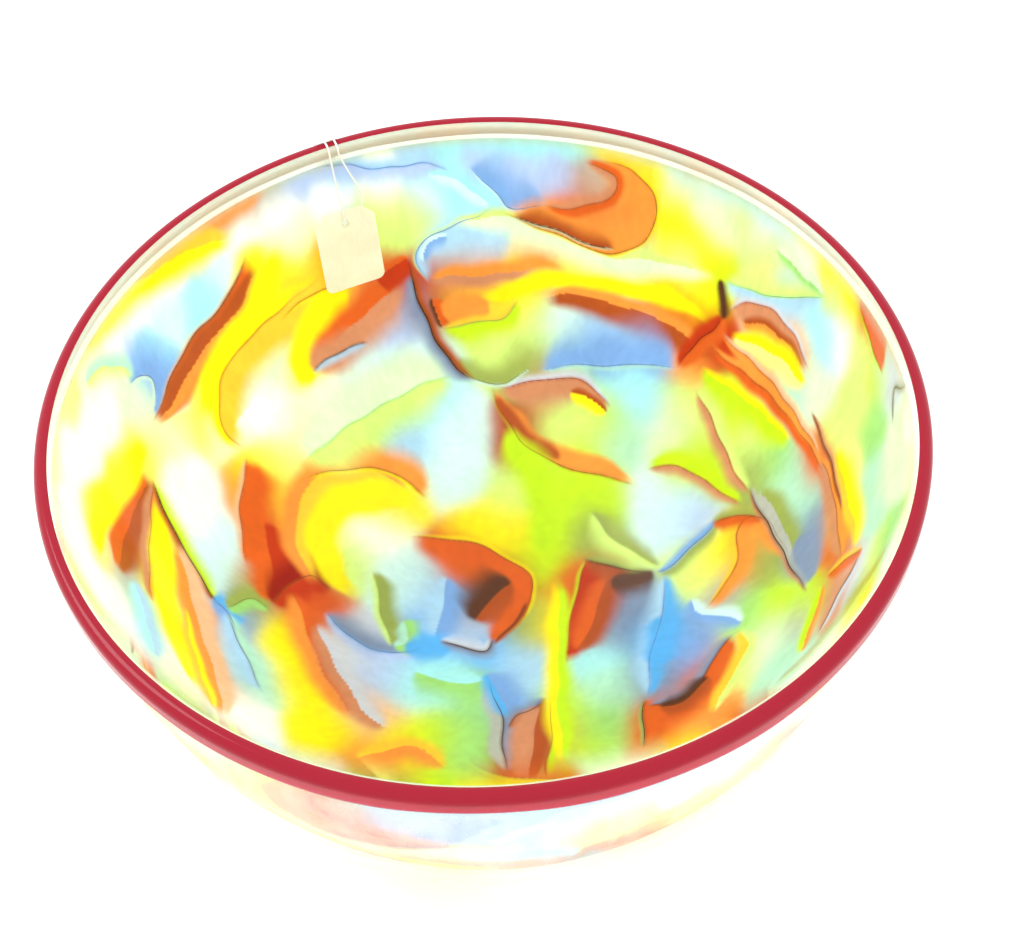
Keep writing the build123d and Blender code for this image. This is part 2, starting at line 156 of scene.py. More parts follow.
# Streaks along a line of places: (places, left side, right side, seam). A side is (reach, softness, paint)
# in degrees. A seam is (width in mm, paint) of the dark line where two shards lap.
STREAKS = [
    # far left
    ([(-81, 38), (-74, 49), (-65, 60), (-55, 68), (-46, 74)], (3, 2, "scarlet"), (2, 3, "orange"), None),
    ([(-84, 25), (-79, 37), (-72, 47), (-63, 56), (-50, 63)], (2, 2, "gold"), (1.5, 3, "yellow"), None),
    ([(-68, 29), (-66, 32), (-62, 32.5), (-60.3, 27)], (1, 6, "blue"), (0, 0.6, "mist"), (0.5, "blue")),
    ([(-80, 20), (-76, 27), (-70, 31), (-67, 30)], (0.5, 2, "mint"), (0, 2, "leaf"), None),
    ([(-47, 61), (-49.5, 53), (-55, 43), (-58.5, 34), (-60, 25.5)], (4.2, 1.2, "flame"),
        (0, 0.5, "peach"), (0.5, "umber")),
    ([(-44, 60), (-46.5, 52), (-52, 42), (-56.5, 32), (-59.3, 26)], (1.2, 1, "orange"),
        (1.6, 1.2, "rust"), None),
    ([(-40, 64), (-42.5, 53), (-47.5, 42), (-50, 31)], (1.5, 2, "yellow"), (1.8, 1.2, "yellow"), None),
    ([(-30, 60), (-38, 53), (-44, 46), (-47, 38), (-45, 31.5), (-40, 30)], (3.2, 3, "gold"),
        (1, 1.5, "yellow"), (0.2, "rust")),
    ([(-24, 60), (-28, 55), (-31, 49), (-30, 41)], (2.2, 1, "yellow"), (2.2, 1.2, "yellow"), None),
    ([(-37, 52), (-31, 57), (-22, 60)], (0.8, 1.5, "gold"), (0, 0.5, "yellow"), (0.25, "rust")),
    ([(-14, 61), (-20, 56), (-25, 51), (-29.5, 44)], (2.2, 3, "clay"), (2, 1.6, "flame"), None),
    ([(-20, 51), (-24, 49), (-27, 47), (-29.5, 44)], (0, 1, "sky"), (1, 2, "clay"), (0.3, "umber")),
    ([(-58.5, 17), (-61, 9), (-62, 1), (-63, -5)], (2, 2, "rust"), (2.6, 1, "flame"), None),
    ([(-57.5, 17), (-57, 10), (-55.5, 2), (-54.5, -5)], (0.8, 0.8, "orange"), (1, 1, "clay"),
        (0.3, "rust")),
    ([(-60, 23), (-64, 13), (-68, 3), (-69, -7)], (1.6, 1, "yellow"), (1.5, 3, "yellow"), None),
    ([(-56, 15), (-53, 4), (-50, -5), (-44, -15)], (1.6, 1.2, "yellow"), (1.8, 1.2, "yellow"), None),
    ([(-59, -3), (-56, -9), (-53, -16)], (1, 1.5, "sky"), (1, 2, "cyan"), None),
    ([(-58, 17), (-56, 15), (-52, 11.5), (-47, 8), (-43, 5), (-40.5, 4)], (0.3, 2, "lime"),
        (0.3, 1, "rust"), (0.7, "umber")),
    ([(-51, 10), (-47, 4), (-44, -3), (-41, -12), (-39.5, -18)], (1.8, 1.2, "peach"),
        (1.6, 1.2, "orange"), None),
    ([(-47.5, 0), (-45.5, -8), (-41, -17)], (0.6, 0.6, "yellow"), (0.6, 0.8, "gold"), None),
    ([(-42.5, 4), (-40, 3.6), (-38, 1)], (0.8, 1.5, "azure"), (0.8, 1.5, "blue"), (0.6, "blue")),
    ([(-40, 3.5), (-37, -2), (-34, -9)], (0.4, 1.5, "mint"), (0.5, 2.5, "sky"), (0.4, "slate")),
    ([(-40, 4), (-36, 6.8), (-33, 6)], (0.8, 1.5, "olive"), (0.8, 1, "green"), (0.35, "olive")),
    # centre left
    ([(-39.5, 29), (-39, 20), (-37.5, 12)], (3.5, 3, "flame"), (0, 1, "peach"), (0.3, "rust")),
    ([(-35, 20), (-33.5, 14), (-33, 7)], (2, 2, "scarlet"), (2, 2, "flame"), None),
    ([(-33, 7), (-30, 11), (-27, 13.5), (-24, 11.5)], (1.5, 2, "ruby"), (1.5, 1.5, "scarlet"),
        (0.4, "rust")),
    ([(-12, 28), (-18, 31), (-26, 29.5), (-29, 24), (-29, 17), (-26, 12)], (1.2, 1, "gold"),
        (1.4, 1.5, "orange"), None),
    ([(-10, 26.5), (-17, 28), (-23, 26), (-26, 20), (-24, 14.5), (-20, 11)], (2.2, 1.2, "yellow"),
        (1, 1, "yellow"), None),
    ([(-29, 28), (-22, 31), (-15, 31), (-9, 27)], (1.5, 2, "orange"), (0, 0.5, "yellow"), (0.25, "rust")),
    ([(-4, 46), (-12, 43), (-21, 38), (-30, 30)], (1.5, 3.5, "leaf"), (3, 4, "mist"), (0.2, "green")),
    ([(-25, 8.5), (-22, 6), (-18, 3.2), (-14, 2.3), (-9, 3.5)], (0.5, 2, "slate"), (0.3, 1.2, "lavender"),
        (0.6, "blue")),
    ([(-17.5, 16), (-16.5, 9), (-14.5, 3.2)], (1, 1.5, "olive"), (0.2, 0.8, "leaf"), (0.35, "olive")),
    ([(-14.5, 3.2), (-12.5, 4.5), (-13.5, 8)], (0.6, 1, "mint"), (0.6, 1.2, "green"), None),
    ([(-6.5, 15), (-8, 9), (-8.5, 4)], (1, 2, "blue"), (0.6, 2, "sky"), None),
    ([(-13, 3.2), (-9, 3.2), (-6, 2.4)], (0.6, 1.5, "azure"), (0.6, 1.5, "azure"), None),
    ([(-12, 21), (-6, 21), (0, 19.5), (5.5, 15.2), (5.3, 10.5), (2.5, 6.5), (-0.5, 2.8)],
        (0, 0.5, "yellow"), (2.5, 3.5, "flame"), (0.3, "rust")),
    ([(3, 14), (0, 12), (-3, 7)], (1, 2.5, "rust"), (1.5, 2.5, "umber"), None),
    ([(4.8, 10.5), (2.5, 6.8), (-0.3, 3)], (0.3, 0.5, "rust"), (1.2, 0.8, "flame"), (0.3, "umber")),
    ([(-8, 3.8), (-5, 2.9), (-1, 2.3), (-0.2, 4.5)], (0.3, 1.5, "pearl"), (0.2, 1, "slate"),
        (0.7, "umber")),
    ([(-30, 10), (-27, 4), (-24, -3), (-20.5, -9)], (1.2, 1.2, "flame"), (1, 2, "orange"), None),
    ([(-26, 6), (-22.5, -1), (-19, -8), (-16, -11)], (0.5, 2, "pearl"), (0.6, 1.5, "clay"), None),
    ([(-20, -17), (-17, -15), (-12, -14), (-7, -18)], (0.5, 1.2, "gold"), (1, 2, "orange"), None),
    ([(-12, -1), (-5, -3.5), (-1.5, -3)], (0.5, 2, "cyan"), (0.6, 3, "green"), None),
    # middle
    ([(-1.3, -3), (0, -9), (0.3, -14), (0.9, -18.5)], (0.6, 1.5, "slate"), (1.2, 0.8, "grey"),
        (0.5, "umber")),
    ([(-1.6, -1.5), (0, -5), (1.2, -9.5)], (1, 2.5, "blue"), (0.5, 1.5, "azure"), None),
    ([(0.8, -11), (2, -9), (4, -8), (6.5, -6.3)], (0.3, 1, "slate"), (0.8, 1, "rust"), (0.5, "umber")),
    ([(5.6, -7), (4.5, -13), (4, -20)], (1.6, 0.6, "rust"), (2, 1.5, "clay"), None),
    ([(7, -6.5), (7, -12), (6.3, -20)], (0.8, 1, "lime"), (0, 0.4, "rust"), (0.25, "rust")),
    ([(9.3, 14), (9.5, 5), (9, -3), (8, -8), (9, -19)], (0.8, 1.2, "lime"), (0.8, 1.2, "yellow"), None),
    ([(14.5, 16), (12.5, 12), (11, 5), (10.6, -1)], (2, 2.5, "scarlet"), (0, 0.5, "lime"),
        (0.25, "rust")),
    ([(17, 13), (14.5, 6), (12, 0.5)], (1, 2, "rust"), (1, 1.5, "flame"), None),
    ([(14, 16), (19, 13.3), (23.5, 11.6)], (0.3, 1, "olive"), (0.8, 1.6, "rust"), (0.5, "umber")),
    ([(17, 11.8), (20, 11.8), (24, 11.7)], (0.3, 0.6, "umber"), (0.8, 2, "umber"), None),
    ([(24, 11.7), (26, 12), (31, 14), (35.5, 15.8)], (0.3, 0.8, "blue"), (0.6, 1.2, "olive"),
        (0.7, "blue")),
    ([(16, 23), (19, 18), (25, 12.5)], (0.3, 1.5, "olive"), (0.4, 2, "leaf"), (0.25, "olive")),
    ([(25, 11.5), (25, 6), (23.5, 2), (22, -3), (20.5, -9)], (0.8, 1.5, "azure"), (0.4, 2, "sky"),
        (0.4, "blue")),
    ([(24.5, 5), (24, 0), (23, -4)], (1, 1.5, "azure"), (1, 1.5, "azure"), None),
    ([(20.2, -9), (19.8, -13), (20, -18)], (2, 1.5, "flame"), (0, 0.4, "green"), (0.5, "umber")),
    ([(20.5, -10.5), (27, -10), (31, -6), (35, -3.5)], (0, 1.6, "slate"), (2.5, 2, "flame"),
        (0.3, "umber")),
    ([(22, -11), (26, -11), (30, -8.5)], (0.6, 1.2, "umber"), (0.6, 1.5, "rust"), None),
    ([(30, -16), (34, -10), (36.5, -7), (36, -3)], (0.8, 1.2, "gold"), (0.4, 1, "leaf"), None),
    ([(29, 6), (30, 3), (34, 0.5), (37, -2.5)], (0.6, 1, "ice"), (0.3, 2, "blue"), None),
    # centre right
    ([(31, 3), (35, 5.5), (37, 8), (38, 12), (41, 13.5), (44, 11), (46, 6), (47, 3)], (0.4, 0.6, "gold"),
        (1.4, 1.8, "orange"), (0.25, "rust")),
    ([(34, 15.7), (37, 15), (41, 13.8), (43, 12)], (0.4, 0.8, "olive"), (0.8, 1, "flame"), (0.3, "rust")),
    ([(42, 18.5), (43, 13), (45, 7), (47, 1), (49, -5)], (0.9, 1, "grey"), (0.2, 0.6, "clay"),
        (0.8, "umber")),
    ([(44, 17), (46.5, 9), (48.5, 1)], (1, 2, "olive"), (0.8, 1, "grey"), None),
    ([(49, 6), (50, 0), (50.5, -4)], (1, 2, "slate"), (0.8, 1.5, "slate"), None),
    ([(2, 44), (4, 39), (7, 34), (13, 30), (19, 27.5), (23.5, 25.5)], (2, 0.8, "orange"),
        (0, 0.5, "lime"), (0.35, "rust")),
    ([(2.5, 43), (4.5, 38.5), (7.5, 34.5), (12, 31.5)], (0.8, 1, "rust"), (0.2, 0.5, "rust"), None),
    ([(3, 44), (8, 43.9), (14, 43.6), (18.5, 41.8), (21.5, 37.5)], (0.2, 0.8, "pearl"),
        (1.8, 1.2, "clay"), (0.4, "rust")),
    ([(15, 41.5), (18, 40), (20.5, 37)], (0.4, 0.4, "rust"), (0.8, 0.8, "yellow"), None),
    ([(4, 38), (5, 34), (8, 29), (9, 23), (8, 17)], (1, 2, "lime"), (0.8, 2, "lime"), None),
    ([(25, 28), (31, 26), (36, 21), (40, 16)], (1.5, 1, "lime"), (0.4, 1, "clay"), (0.25, "rust")),
    ([(37, 36), (38.5, 29), (40, 23), (42, 17)], (0.4, 1.5, "leaf"), (0.5, 1.5, "clay"), (0.25, "rust")),
    ([(39, 39), (44, 33), (49, 27), (53, 20)], (0.5, 1, "yellow"), (1.2, 2.5, "lime"), None),
    ([(-5, 48), (-1, 45.2), (4, 44.6), (9, 46)], (0.5, 2.5, "olive"), (0, 0.5, "ice"), (0.5, "olive")),
    ([(-12.5, 65), (-11.5, 60), (-9, 53.5), (-7, 50), (-4, 46.7), (-0.5, 44.6)], (0.4, 1, "rust"),
        (0.4, 1.5, "slate"), (0.9, "umber")),
    ([(-19, 62), (-15, 63.5), (-12.5, 65)], (0.6, 0.6, "flame"), (2.5, 1, "scarlet"), None),
    ([(-8, 58), (-7.5, 55), (-6.5, 52.8)], (1.5, 2, "flame"), (0.3, 0.4, "umber"), None),
    ([(-7, 56), (-3, 56.5), (3, 57)], (1.2, 1, "orange"), (1.6, 1, "orange"), None),
    ([(-6.5, 52.6), (-2, 54), (4, 54.6), (8, 57)], (0.3, 0.6, "gold"), (0.5, 2, "lime"), (0.2, "olive")),
    ([(-9, 61), (-3, 61.7), (3, 62), (10, 62), (18, 61)], (1, 1.2, "orange"), (0.8, 1, "clay"), None),
    ([(-8.5, 60.5), (-10.8, 64), (-10.5, 67), (-6, 69.7), (0, 72), (5, 74)], (0, 0.5, "leaf"),
        (0.4, 3, "sky"), (0.5, "blue")),
    ([(-9.5, 64), (-9, 67), (-5, 69)], (0.3, 0.6, "ice"), (0.3, 1.5, "blue"), None),
    ([(0, 59), (6, 58.5), (12, 59.7), (20, 58.3), (28, 56), (36, 52), (44, 45)], (0.8, 1, "yellow"),
        (0.9, 0.8, "yellow"), None),
    ([(12, 56.8), (20, 56.2), (27, 53), (34, 48.5), (40, 43), (44, 41)], (0.9, 0.8, "orange"),
        (1.8, 1.8, "rust"), None),
    ([(10, 45.6), (18, 45), (25, 44), (31, 42.5), (35, 40.5)], (1, 5, "blue"), (0, 0.6, "mint"),
        (0.5, "blue")),
    ([(35, 40.5), (38, 42), (41, 43.5), (44, 43.8), (47, 46)], (1, 1, "scarlet"), (1.2, 1.2, "flame"),
        (0.4, "ruby")),
    ([(46.5, 45), (47.7, 47.5), (48, 51.5)], (0.4, 0.8, "umber"), (0.3, 1, "umber"), (0.8, "umber")),
    ([(-6, 71), (5, 72), (15, 68.3), (27, 62), (38, 57.5), (48, 52)], (0.6, 1, "leaf"), (1.2, 2, "mist"),
        None),
    # far side, near the rim
    ([(-42, 77), (-30, 80.3), (-20, 81), (-10, 81.8), (-3, 80.5)], (0.3, 1.5, "sky"),
        (0.5, 2.5, "lavender"), (0.5, "blue")),
    ([(0, 81.5), (3, 79), (6, 75.7), (8, 73.2), (12, 72.6), (16, 72.2)], (0.6, 5, "blue"),
        (0, 0.5, "ice"), (0.5, "blue")),
    ([(-9, 79.5), (-3, 79.2), (1, 76.5), (4, 73.8)], (0.4, 1, "cyan"), (0.8, 1.2, "ice"), None),
    ([(6, 72.6), (12, 69.5), (20, 65.5), (27, 62.5), (33, 61.8), (38, 64), (39.8, 68), (38, 73), (34, 77),
        (30, 79)], (3, 4, "orange"), (0, 0.4, "yellow"), (0.35, "rust")),
    ([(8, 71.6), (15, 68.6), (22, 65.3), (29, 62.8)], (0.4, 2, "rust"), (0, 0.3, "mist"), (0.4, "umber")),
    ([(15, 72.2), (20, 71.4), (26, 71.5), (31, 72.3), (32, 75), (29.5, 77.5), (26, 79.3)],
        (0.5, 1.2, "clay"), (0.9, 0.8, "flame"), (0.25, "rust")),
    ([(49, 51), (55, 46.5), (61, 42), (67, 39), (72, 36.5)], (0.4, 3, "leaf"), (0.3, 3.5, "sky"),
        (0.4, "green")),
    ([(72, 36.5), (69, 42), (64, 50)], (0.3, 1, "green"), (0.4, 1.5, "mist"), None),
    ([(48, 46), (53, 45.2), (58, 41.5), (60.5, 35), (61, 28)], (0.2, 0.7, "pearl"), (2.2, 2, "clay"),
        (0.3, "rust")),
    ([(50, 43.5), (55, 40), (58, 35), (60, 29)], (0.4, 0.8, "rust"), (0.6, 1, "orange"), None),
    ([(47, 42), (52, 38), (56, 33), (59, 26)], (1.2, 1.2, "yellow"), (1, 2, "straw"), None),
    ([(42, 42), (47, 35.5), (51, 29.5), (55, 21.5), (57, 14), (56.8, 8)], (0.8, 0.6, "orange"),
        (0.9, 0.8, "flame"), (0.3, "rust")),
    ([(45, 43), (49, 37), (52.5, 30), (56, 22), (58, 14)], (0.5, 0.6, "peach"), (0.6, 0.6, "orange"),
        (0.2, "rust")),
    ([(57.5, 14), (58.5, 7), (58.2, 0), (57, -6)], (1.1, 1, "orange"), (1.2, 1.5, "clay"), (0.2, "rust")),
    ([(61.3, 13), (61.6, 5), (62, -3), (60.5, -8)], (1, 2.5, "yellow"), (0.7, 0.8, "gold"), None),
    ([(59.3, 22), (59.6, 12), (59.8, 2)], (0.2, 0.5, "clay"), (0.2, 0.4, "rust"), (0.3, "umber")),
    ([(53, -6), (58, -7), (62.5, -10)], (0.3, 0.6, "gold"), (0.7, 1.2, "flame"), (0.3, "rust")),
    ([(50, -15.5), (54, -12.5), (58, -11.3), (61, -10)], (0.3, 1.2, "clay"), (0.3, 1, "pearl"),
        (0.5, "umber")),
    ([(46, -16), (49, -11), (52, -6.5)], (1, 1, "lime"), (0.6, 1, "orange"), None),
    ([(80.5, 28), (80, 20), (79.5, 13)], (3.5, 1.5, "flame"), (0, 0.6, "lime"), (0.3, "rust")),
    ([(79, 3), (81, 6.5), (82.5, 7), (85, 4.5), (88, 2)], (0.2, 0.8, "grey"), (0.1, 0.8, "grey"),
        (0.5, "umber")),
    ([(40, -18.5), (52, -18.5), (64, -18.8), (73, -18.5)], (0.8, 1, "olive"), (1, 1.2, "green"), None),
]
# From one of these places towards -Y to the other, the wall turns into the far one turned half round
HIDDEN_FROM, HIDDEN_TO = -15.0, -23.0
RIM_BAND, RIM_FADE, RIM_SHARE = 86.0, 1.5, 0.5  # where the wall takes on a little painted glow: its colour is blended towards a warm pale tone that stands for light seen through the rolled lip's glass
PAINTED_RIM_GLOW = (214, 205, 160)

PATCH_BLUR = 2.5  # degrees
SOFTEN = 1.6  # spread of a streak's outer edge
END_SHARE = 0.1  # share of a streak's length over which each end fades
SWELL_LOW, SWELL_SHARE = 0.35, 0.25  # a streak's width at its ends, and the share of its length to widen in
SEAM_SHARE = 0.3  # of a seam's width: half the width of its strip; of its length: the taper at each end
SEAM_SHADE = 0.5  # how strongly a seam darkens the glass beside it
THROUGH = 0.45  # share of a shard's light that shines through it

FINE_TURN, FINE_RISE = 1200, 304  # grid of the colour layer
COARSE = 4  # how many of its steps a cell of a shard spans
FIRST_RING, LAST_GAP = 0.6, 0.05  # degrees: where that grid starts, and how far below the wrap it ends
PLACES_AT_ONCE = 40000

# Paper tag on its string, as the CAD has it
TAG_AZIMUTH = radians(111.2)
TAG_WIDTH, TAG_LENGTH, TAG_THICKNESS = 25 * MM, 36 * MM, 0.8 * MM
TAG_CLIP, TAG_ROUND, TAG_HOLE, TAG_HOLE_DROP = 5 * MM, 3 * MM, 3.6 * MM, 6 * MM
TAG_LEAN = radians(9.9)
STRING = 0.8 * MM
PIVOT = (143.0 * MM, 160.25 * MM)
DROP = 30.0 * MM
STRAND_ALONG = (-1.2 * MM, 2.4 * MM)
STRING_OVER = [(150.5 * MM, 152.0 * MM), (150.5 * MM, 165.5 * MM), (143.0 * MM, 165.5 * MM), PIVOT]
TAPE_LIFT, TAPE, TAPE_WIDTH, TAPE_END_Z = 1.0 * MM, 0.3 * MM, 9.5 * MM, HEIGHT - 16 * MM


def linear(rgb):
    c = np.array(rgb, float) / 255
    return np.where(c <= 0.04045, c / 12.92, ((c + 0.055) / 1.055) ** 2.4)


PAINT = {name: linear(rgb) for name, rgb in PAINTS.items()}


def smooth_step(x):
    x = np.clip(x, 0, 1)
    return x * x * (3 - 2 * x)


# ---------------------------------------------------------------- shape of the wall
def wall_profile(offset, floor, top=LIP_Z, rise=64, turn=40):
    """(radius, height) points of a layer's face, from the axis along the floor and up the wall. The
    outermost face turns down to the base's edge, and every other one becomes level at its own floor."""
    if floor == 0:
        dx, dz = SHOULDER[0] - BASE_RADIUS, SHOULDER[1]
        radius = (dx**2 + dz**2) / (2 * (dx * NORMAL[0] + dz * NORMAL[1]))
        centre = (SHOULDER[0] - radius * NORMAL[0], SHOULDER[1] - radius * NORMAL[1])
        first, start = -acos((BASE_RADIUS - centre[0]) / radius), BASE_RADIUS
    else:
        knee = (SHOULDER[0] - offset * NORMAL[0], SHOULDER[1] - offset * NORMAL[1])
        radius = (knee[1] - floor) / (1 + NORMAL[1])
        centre = (knee[0] - radius * NORMAL[0], knee[1] - radius * NORMAL[1])
        first, start = -pi / 2, centre[0]
    last = -acos(NORMAL[0])
    upper = BULGE - offset
    end = np.arcsin(np.clip((top - BULGE_CENTRE[1]) / upper, -1, 1))
    flat = [(r, floor) for r in np.linspace(0, start, 12)[:-1]]

    def arc(middle, size, angles):
        return [(middle[0] + size * cos(a), middle[1] + size * sin(a)) for a in angles]

    low = arc(centre, radius, np.linspace(first, last, turn))
    high = arc(BULGE_CENTRE, upper, np.linspace(last, end, rise)[1:])
    return np.array(flat + low + high)


def fall_angle(profile):
    """Degrees from straight down, seen from the focus, of each profile point."""
    return np.degrees(np.arctan2(profile[:, 0], HEIGHT - profile[:, 1]))


def on_layer(profile, x, y):
    """Points of a layer at flattened places x, y."""
    rho = np.hypot(x, y)
    turn = np.arctan2(y, x)
    angles = fall_angle(profile)
    r = np.interp(rho, angles, profile[:, 0])
    z = np.interp(rho, angles, profile[:, 1])
    return np.stack([r * np.cos(turn), r * np.sin(turn), z], -1)


def mesh_object(name, points, faces, material, smooth=True):
    """New object in the scene, from points and faces."""
    mesh = bpy.data.meshes.new(name)
    mesh.from_pydata([tuple(p) for p in points], [], faces)
    mesh.materials.append(material)
    mesh.polygons.foreach_set("use_smooth", [smooth] * len(mesh.polygons))
    mesh.update()
    obj = bpy.data.objects.new(name, mesh)
    bpy.context.scene.collection.objects.link(obj)
    return obj


def turned(name, section_at, material, steps=720):
    """Closed surface of revolution. section_at gives the closed section at an angle, as (radius, height)
    points in order; a section that starts and ends on the axis closes there."""
    turns = np.arange(steps) * 2 * pi / steps
    sections = np.array([section_at(turn) for turn in turns])
    on_axis = sections[0, 0, 0] < SKIN
    rings = sections[:, 1:-1] if on_axis else sections
    count = rings.shape[1]
    points = np.stack([rings[..., 0] * np.cos(turns)[:, None], rings[..., 0] * np.sin(turns)[:, None],
                       rings[..., 1]], -1).reshape(-1, 3).tolist()
    faces = []
    for i in range(steps):
        here, after = i * count, (i + 1) % steps * count
        for k in range(count - 1):
            faces.append((here + k, after + k, after + k + 1, here + k + 1))
        if not on_axis:
            faces.append((here + count - 1, after + count - 1, after, here))
    if on_axis:
        faces.append([i * count for i in reversed(range(steps))])
        faces.append([i * count + count - 1 for i in range(steps)])
    return mesh_object(name, points, faces, material)


def lip_arc(first, last, steps):
    """Points of the rounded lip from one angle to another, in degrees."""
    return [(RIM_RADIUS - LIP_RADIUS + LIP_RADIUS * cos(radians(a)), LIP_Z + LIP_RADIUS * sin(radians(a)))
            for a in np.linspace(first, last, steps)]


def wrap_end():
    """Angle on the lip, in degrees, where the ruby ends."""
    foot = np.array([RIM_RADIUS - WRAP_THICKNESS, WRAP_Z])
    run = np.array([WRAP_CREST_RADIUS, HEIGHT]) - foot
    gap = foot - (RIM_RADIUS - LIP_RADIUS, LIP_Z)
    a, b, c = run @ run, 2 * run @ gap, gap @ gap - LIP_RADIUS**2
    meet = gap + run * (-b + sqrt(b * b - 4 * a * c)) / (2 * a)
    return np.degrees(np.arctan2(meet[1], meet[0]))


def wave(turn, seed, low=3, high=17):
    """Smooth noise round the bowl, about -1 to 1."""
    rng = np.random.default_rng(seed)
    total = 0
    for order in range(low, high):
        total += rng.normal() * sin(order * turn + rng.uniform(0, 2 * pi)) / sqrt(high - low)
    return total


# ---------------------------------------------------------------- materials
class Paint:
    """A node material under way: add() makes a node, wires sockets, sets values and gives one output."""

    MIX_A, MIX_B, MIX_RESULT = 6, 7, 2  # the colour sockets of a Mix node

    def __init__(self, name):
        self.material = bpy.data.materials.new(name)
        self.material.use_nodes = True
        self.tree = self.material.node_tree
        self.tree.nodes.clear()

    def add(self, kind, *, out=0, inputs=None, **settings):
        node = self.tree.nodes.new("ShaderNode" + kind)
        for key, value in settings.items():
            setattr(node, key, value)
        for key, value in (inputs or {}).items():
            socket = node.inputs[key]
            if isinstance(value, bpy.types.NodeSocket):
                self.tree.links.new(value, socket)
            else:
                socket.default_value = value
        return node.outputs[out]

    def place(self):
        return self.add("TexCoord", out="Object")

    def height(self):
        return self.add("SeparateXYZ", out="Z", inputs={0: self.place()})

    def noise(self, scale, detail=3.0, stretch=(1, 1, 1), rough=0.5, distort=0.0):
        place = self.add("Mapping", inputs={"Vector": self.place(), "Scale": stretch})
        return self.add("TexNoise", inputs={"Vector": place, "Scale": scale, "Detail": detail,
                                            "Roughness": rough, "Distortion": distort})

    def spread(self, value, low, high, to_low, to_high):
        return self.add("MapRange", inputs={0: value, 1: low, 2: high, 3: to_low, 4: to_high})

    def ramp(self, value, *stops):
        """Colour by value: stops are (place, sRGB)."""
        socket = self.add("ValToRGB", inputs={0: value})
        elements = socket.node.color_ramp.elements
        while len(elements) < len(stops):
            elements.new(0.5)
        for element, (place, rgb) in zip(elements, stops):
            element.position = place
            element.color = (*linear(rgb), 1)
        return socket

    def mix(self, kind, factor, a, b):
        return self.add("Mix", out=self.MIX_RESULT, data_type="RGBA", blend_type=kind,
                        inputs={0: factor, self.MIX_A: a, self.MIX_B: b})

    def math(self, operation, a, b=0.0):
        return self.add("Math", operation=operation, inputs={0: a, 1: b})

    def bump(self, height, strength, distance):
        return self.add("Bump", inputs={"Height": height, "Strength": strength, "Distance": distance})

    def blend(self, factor, a, b):
        return self.add("MixShader", inputs={0: factor, 1: a, 2: b})

    def done(self, shader):
        node = self.tree.nodes.new("ShaderNodeOutputMaterial")
        self.tree.links.new(shader, node.inputs["Surface"])
        return self.material


def streaky_glass():
    """Colour shards: the painted colour, broken up by fine drawn streaks, part of it shining through."""
    p = Paint("shard_glass")
    tint = p.add("VertexColor", layer_name="Tint")
    place = p.place()
    swirl = p.add("TexNoise", out="Color", inputs={"Vector": place, "Scale": 14.0, "Detail": 2.0})
    bent = p.mix("ADD", 0.035, place, swirl)
    drawn = p.add("Mapping", inputs={"Vector": bent, "Scale": (1.0, 1.3, 0.35)})
    threads = p.add("TexNoise", inputs={"Vector": drawn, "Scale": 260.0, "Detail": 3.0, "Roughness": 0.6})
    clouds = p.add("TexNoise", inputs={"Vector": bent, "Scale": 55.0, "Detail": 2.0})
    fine = p.spread(threads, 0.35, 0.65, 0.955, 1.045)
    broad = p.spread(clouds, 0.3, 0.7, 0.95, 1.05)
    colour = p.mix("MULTIPLY", 1.0, tint, p.math("MULTIPLY", fine, broad))
    bump = p.bump(clouds, 0.1, 0.0006)
    body = p.add("BsdfPrincipled", inputs={"Base Color": colour, "Roughness": 0.38,
                                           "Specular IOR Level": 0.25, "Normal": bump})
    through = p.add("BsdfTranslucent", inputs={"Color": colour})
    return p.done(p.blend(THROUGH, body, through))


def bond_glass():
    """Where a shard is fused to the casing and to its neighbours: only a trace of its colour shows."""
    p = Paint("bond_glass")
    tint = p.add("VertexColor", layer_name="Tint")
    pale = p.mix("MIX", p.spread(p.noise(90.0, 2.0), 0.3, 0.7, 0.02, 0.08), (1, 1, 1, 1), tint)
    return p.done(p.add("BsdfTransparent", inputs={"Color": pale}))


def fresnel(p, normal, low, high):
    """Share of light that glass mirrors: low face on, high at a grazing angle, nothing from behind."""
    facing = p.add("LayerWeight", out="Facing", inputs={"Blend": 0.5, "Normal": normal})
    share = p.spread(p.math("POWER", facing, 4.0), 0.0, 1.0, low, high)
    front = p.math("SUBTRACT", 1.0, p.add("NewGeometry", out="Backfacing"))
    return p.math("MULTIPLY", share, front)


def clear_glass():
    """Clear lining: see-through with soft ripples; towards the lip a faint warm, partly milky tint is
    painted in for the light seen through the rolled lip edge-on.
    """
    p = Paint("clear_glass")
    bump = p.bump(p.noise(22.0, 2.0), 0.12, 0.0012)
    lip = p.spread(p.height(), WRAP_Z - 3 * MM, HEIGHT - 2 * MM, 0.0, 1.0)
    tone = p.ramp(p.noise(30.0, 2.0),
                  (0.3, (255, 254, 236)), (0.5, (244, 252, 236)), (0.7, (253, 246, 222)))
    # painted light: towards the lip the glass turns faintly warm and partly milky, standing for the light
    # seen through the rolled lip edge-on
    painted_lip_tint = p.mix("MIX", lip, (0.985, 0.99, 0.985, 1), tone)
    through = p.add("BsdfTransparent", inputs={"Color": painted_lip_tint})
    milk = p.add("BsdfPrincipled", inputs={"Base Color": tone, "Roughness": 0.2, "Normal": bump})
    body = p.blend(p.math("MULTIPLY", lip, 0.4), through, milk)
    mirror = p.add("BsdfGlossy", inputs={"Color": (1, 1, 1, 1), "Roughness": 0.03, "Normal": bump})
    return p.done(p.blend(fresnel(p, bump, p.spread(lip, 0.0, 1.0, 0.002, 0.05), 0.4), body, mirror))


